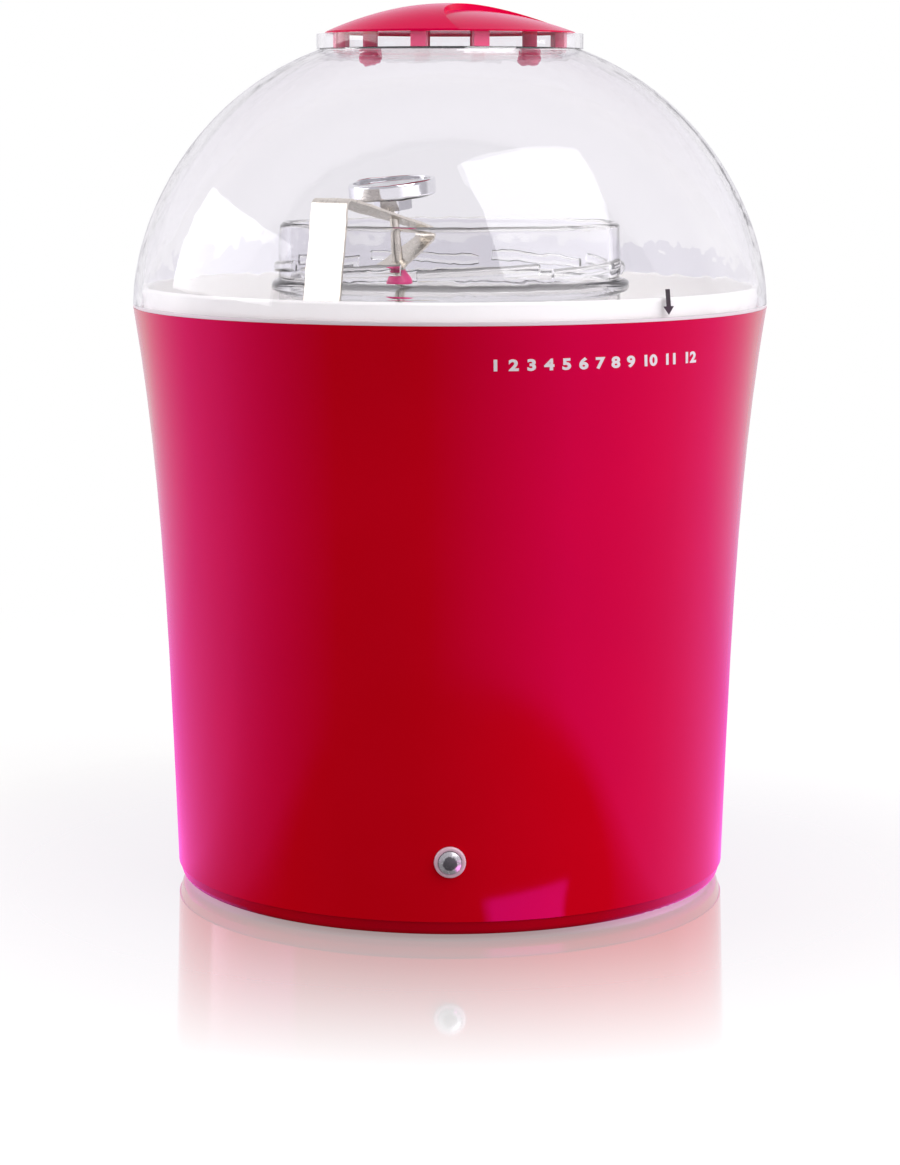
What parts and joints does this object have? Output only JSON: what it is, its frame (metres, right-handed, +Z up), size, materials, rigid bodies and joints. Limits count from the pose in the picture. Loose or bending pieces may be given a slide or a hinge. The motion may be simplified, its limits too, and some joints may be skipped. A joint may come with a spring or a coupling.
{
  "type": "yogurt maker",
  "caption": "Round yogurt maker: flared red heated housing, white well, glass jar with a clip-on dial thermometer, clear turning dome with a red knob, and a power button.",
  "frame": {"origin": "middle of the feet on the surface it stands on", "axes": "+Z up along the turning axis of the dome; the power button and the front face -Y, the cord inlet faces +Y, +X is to the right seen from the front"},
  "size_m": [0.214, 0.214, 0.297],
  "materials": {
    "red_plastic": "gloss",
    "dark_red_plastic": "gloss",
    "white_plastic": "satin",
    "clear_plastic": "gloss",
    "clear_glass": "gloss",
    "stainless": "satin",
    "chrome_plate": "polished",
    "screw_steel": "satin",
    "aluminium_sheet": "satin",
    "black_rubber": "matte",
    "magenta_silicone": "satin",
    "seal_silicone": "satin",
    "element_winding": "matte",
    "felt_pad": "matte",
    "black_plastic": "matte",
    "circuit_board": "satin",
    "wire_sleeve": "satin",
    "dial_white": "satin",
    "pointer_black": "satin",
    "lamp_resin": "gloss"
  },
  "bodies": {
    "base": {"outer_shell": "red_plastic", "base_cover": "dark_red_plastic", "rubber_feet": "black_rubber", "base_screws": "screw_steel", "well_liner": "white_plastic", "heater_plate": "aluminium_sheet", "heating_element": "element_winding", "insulation_pad": "felt_pad", "heater_retainer": "stainless", "retainer_screws": "screw_steel", "thermostat": "black_plastic", "thermal_fuse": "aluminium_sheet", "cord_grommet": "black_rubber", "terminal_block": "white_plastic", "terminal_screws": "screw_steel", "internal_wires": "wire_sleeve", "button_bezel": "clear_plastic", "switch_housing": "black_plastic", "switch_spring": "screw_steel", "indicator_led": "lamp_resin", "switch_board": "circuit_board", "board_bracket": "white_plastic", "board_screws": "screw_steel"},
    "power_button": {"button_cap": "clear_plastic", "button_reflector": "chrome_plate", "switch_plunger": "white_plastic"},
    "jar": {"glass_jar": "clear_glass"},
    "clip": {"thermometer_clip": "stainless"},
    "thermometer": {"thermometer_hub": "chrome_plate", "thermometer_stem": "stainless", "bimetal_coil": "stainless", "thermometer_case": "chrome_plate", "dial_face": "dial_white", "dial_lens": "clear_glass", "stem_stop": "magenta_silicone"},
    "dial_pointer": {"pointer": "pointer_black", "pointer_shaft": "stainless"},
    "lid_ring": {"glide_ring": "seal_silicone"},
    "dome": {"dome_lid": "clear_plastic", "lid_knob": "red_plastic"}
  },
  "joints": [
    {"name": "button_press", "type": "slide", "parent": "base", "child": "power_button", "axis": [0, 1, 0], "range_m": [0, 0.0015], "stiffness_N_per_m": 900, "springref_m": -0.0015},
    {"name": "jar_lift", "type": "slide", "parent": "base", "child": "jar", "axis": [0, 0, 1], "range_m": [0, 0.19]},
    {"name": "thermometer_lift", "type": "slide", "parent": "jar", "child": "clip", "axis": [0, 0, 1], "range_m": [0, 0.13]},
    {"name": "thermometer_turn", "type": "hinge", "parent": "clip", "child": "thermometer", "pos_m": [-0.0185, -0.02128, 0.22782], "axis": [-0.08, -0.092, 0.9925], "continuous": true},
    {"name": "pointer_turn", "type": "hinge", "parent": "thermometer", "child": "dial_pointer", "pos_m": [-0.0185, -0.02128, 0.22782], "axis": [-0.08, -0.092, 0.9925], "range_deg": [-230, 40]},
    {"name": "timer_turn", "type": "hinge", "parent": "clip", "child": "lid_ring", "pos_m": [0, 0, 0.197], "axis": [0, 0, 1], "continuous": true},
    {"name": "lid_lift", "type": "slide", "parent": "lid_ring", "child": "dome", "axis": [0, 0, 1], "range_m": [0, 0.12]}
  ]
}
